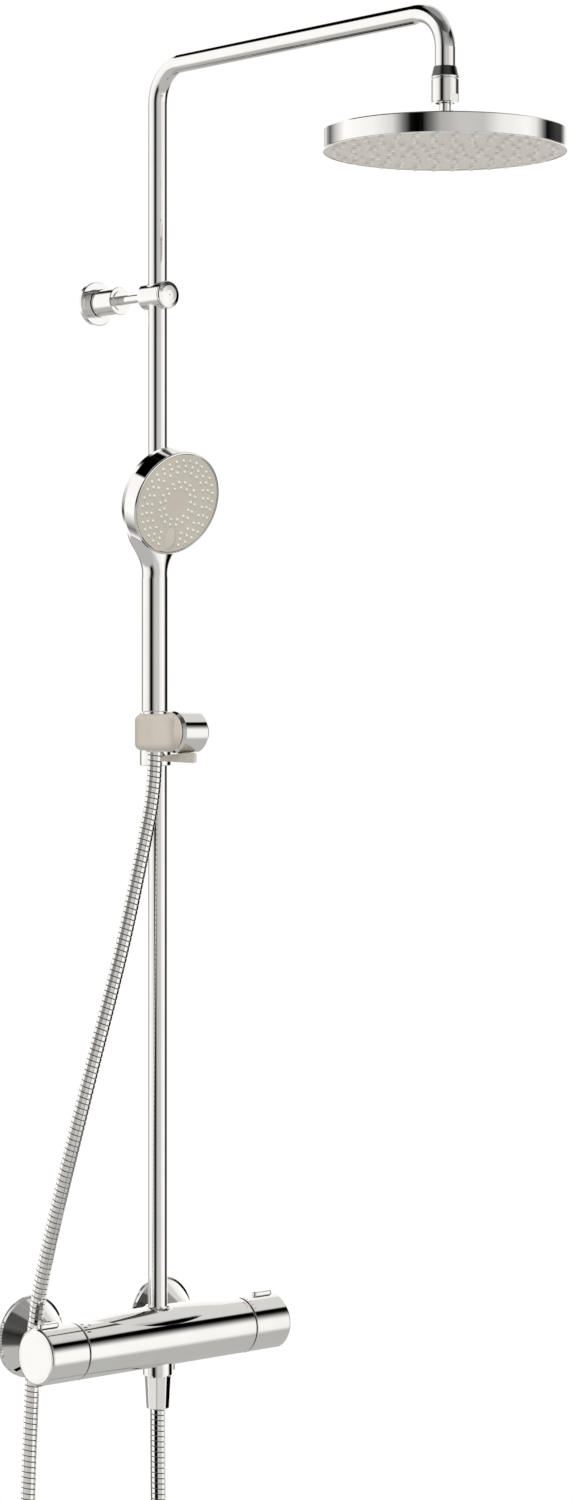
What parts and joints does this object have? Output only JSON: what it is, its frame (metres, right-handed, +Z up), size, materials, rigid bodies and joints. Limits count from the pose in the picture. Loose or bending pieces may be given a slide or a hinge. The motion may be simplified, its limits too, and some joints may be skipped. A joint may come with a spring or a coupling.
{
  "type": "rainfall shower column",
  "caption": "Exposed shower column: bar mixer on two wall unions, riser bent over into an arm with a round overhead shower, sliding holder, hand shower and metal hose.",
  "frame": {"origin": "on the finished wall, midway between the centres of the two water inlets", "axes": "+X to the right of someone facing the wall, +Y into the wall, +Z up along the riser"},
  "size_m": [0.2742, 0.5549, 1.6035],
  "materials": {
    "chrome": "polished chrome plating",
    "brass": "machined",
    "steel": "plain stainless steel",
    "greige": "satin moulded plastic, grey-beige",
    "silicone": "soft silicone, off-white",
    "rubber": "seal rubber",
    "black_plastic": "moulded plastic, black",
    "white_plastic": "moulded plastic, off-white",
    "hose_metal": "interlocked chrome-plated hose"
  },
  "bodies": {
    "column": {"s_union_left": "chrome", "s_union_right": "chrome", "rosette_left": "chrome", "rosette_right": "chrome", "union_nuts": "chrome", "filter_washers": "rubber", "check_valves": "white_plastic", "mixer_body": "chrome", "flow_cartridge": "white_plastic", "thermostat_cartridge": "brass", "cartridge_nuts": "brass", "stop_rings": "black_plastic", "mixer_seals": "rubber", "outlet_nipple": "chrome", "riser_screw": "steel", "riser_tube": "chrome", "arm_collar": "black_plastic", "swivel_ring": "chrome", "swivel_nut": "chrome", "bracket_flange": "chrome", "bracket_sleeve": "chrome", "bracket_rod": "chrome", "bracket_clamp": "chrome", "clamp_bush": "white_plastic", "bracket_screw": "steel", "bracket_cap": "chrome", "hose_tube": "hose_metal", "hose_nut": "chrome"},
    "head_seat": {"ball_seal": "white_plastic"},
    "head": {"head_ball": "chrome", "head_shell": "chrome", "head_faceplate": "greige", "head_nozzles": "silicone"},
    "flow_control": {"flow_handle": "chrome", "flow_cap": "chrome", "flow_adapter": "black_plastic", "flow_spindle": "brass", "flow_button_spring": "steel"},
    "flow_stop": {"flow_button": "chrome"},
    "temperature_control": {"temperature_handle": "chrome", "temperature_cap": "chrome", "temperature_adapter": "black_plastic", "temperature_spindle": "brass", "temperature_button_spring": "steel"},
    "temperature_stop": {"temperature_button": "chrome"},
    "slider": {"slider_body": "chrome", "slider_bush": "white_plastic", "lever_pin": "steel", "friction_ring": "black_plastic", "holder_pin": "steel"},
    "lever": {"release_lever": "greige"},
    "holder": {"holder": "greige"},
    "handset": {"handset_body": "chrome", "face_ring": "chrome", "spray_chamber": "white_plastic", "hose_cone": "chrome", "cone_washer": "rubber"},
    "spray_face": {"spray_plate": "greige", "spray_nozzles": "silicone", "selector_tab": "greige"}
  },
  "joints": [
    {"name": "head_swivel", "type": "hinge", "parent": "column", "child": "head_seat", "pos_m": [0, -0.4408, 1.0425], "axis": [0, 0, 1], "continuous": true},
    {"name": "head_tilt", "type": "hinge", "parent": "head_seat", "child": "head", "pos_m": [0, -0.4408, 1.0425], "axis": [1, 0, 0], "range_deg": [-10, 10]},
    {"name": "flow_turn", "type": "hinge", "parent": "column", "child": "flow_control", "pos_m": [-0.115, -0.086, 0], "axis": [1, 0, 0], "range_deg": [-90, 90]},
    {"name": "flow_stop_press", "type": "slide", "parent": "flow_control", "child": "flow_stop", "axis": [0, 0, -1], "range_m": [0, 0.0015], "stiffness_N_per_m": 2000, "springref_m": -0.001, "deforming": ["flow_button_spring"]},
    {"name": "temperature_turn", "type": "hinge", "parent": "column", "child": "temperature_control", "pos_m": [0.115, -0.086, 0], "axis": [1, 0, 0], "range_deg": [-120, 60]},
    {"name": "temperature_stop_press", "type": "slide", "parent": "temperature_control", "child": "temperature_stop", "axis": [0, 0, -1], "range_m": [0, 0.0015], "stiffness_N_per_m": 2000, "springref_m": -0.001, "deforming": ["temperature_button_spring"]},
    {"name": "slider_slide", "type": "slide", "parent": "column", "child": "slider", "axis": [0, 0, 1], "range_m": [-0.42, 0.26], "deforming": ["hose_tube"]},
    {"name": "lever_release", "type": "hinge", "parent": "slider", "child": "lever", "pos_m": [0, -0.121, 0.5147], "axis": [1, 0, 0], "range_deg": [0, 5], "stiffness_Nm_per_rad": 0.6, "springref_deg": -5.73},
    {"name": "holder_tilt", "type": "hinge", "parent": "slider", "child": "holder", "pos_m": [-0.033, -0.121, 0.53], "axis": [1, 0, 0], "range_deg": [-4, 40]},
    {"name": "handset_lift", "type": "slide", "parent": "holder", "child": "handset", "axis": [0, 0, 1], "range_m": [0, 0.05]},
    {"name": "spray_select", "type": "hinge", "parent": "handset", "child": "spray_face", "pos_m": [-0.033, -0.1506, 0.7256], "axis": [0, -0.9449, -0.3272], "range_deg": [-40, 40]}
  ]
}
